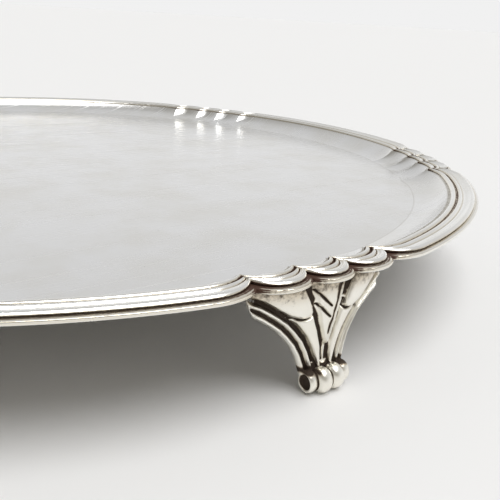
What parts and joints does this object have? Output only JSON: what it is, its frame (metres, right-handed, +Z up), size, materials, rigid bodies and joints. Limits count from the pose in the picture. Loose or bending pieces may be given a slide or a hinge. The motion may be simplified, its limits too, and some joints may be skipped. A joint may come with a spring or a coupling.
{
  "type": "silver salver",
  "caption": "round footed silver salver with a flat plate, raised band, scalloped moulded border and cast knuckle feet",
  "frame": {"origin": "on the table under the centre of the round plate", "axes": "+Z up out of the plate, -Y towards foot 1, +X to the right seen from foot 1"},
  "size_m": [0.3048, 0.3036, 0.0295],
  "materials": {
    "plate_silver": "softly polished sterling silver with fine scratches",
    "cast_silver": "polished cast silver, tarnish in the grooves",
    "foot_silver": "cast silver with dark patina in the chased lines"
  },
  "bodies": {
    "root": {"tray_plate": "plate_silver", "border_arc_1": "cast_silver", "border_arc_2": "cast_silver", "border_arc_3": "cast_silver", "border_arc_4": "cast_silver", "border_arc_5": "cast_silver", "border_arc_6": "cast_silver", "border_scallops_1": "cast_silver", "border_scallops_2": "cast_silver", "border_scallops_3": "cast_silver", "border_scallops_4": "cast_silver", "border_scallops_5": "cast_silver", "border_scallops_6": "cast_silver", "foot_1": "foot_silver", "foot_2": "foot_silver", "foot_3": "foot_silver"}
  },
  "joints": []
}
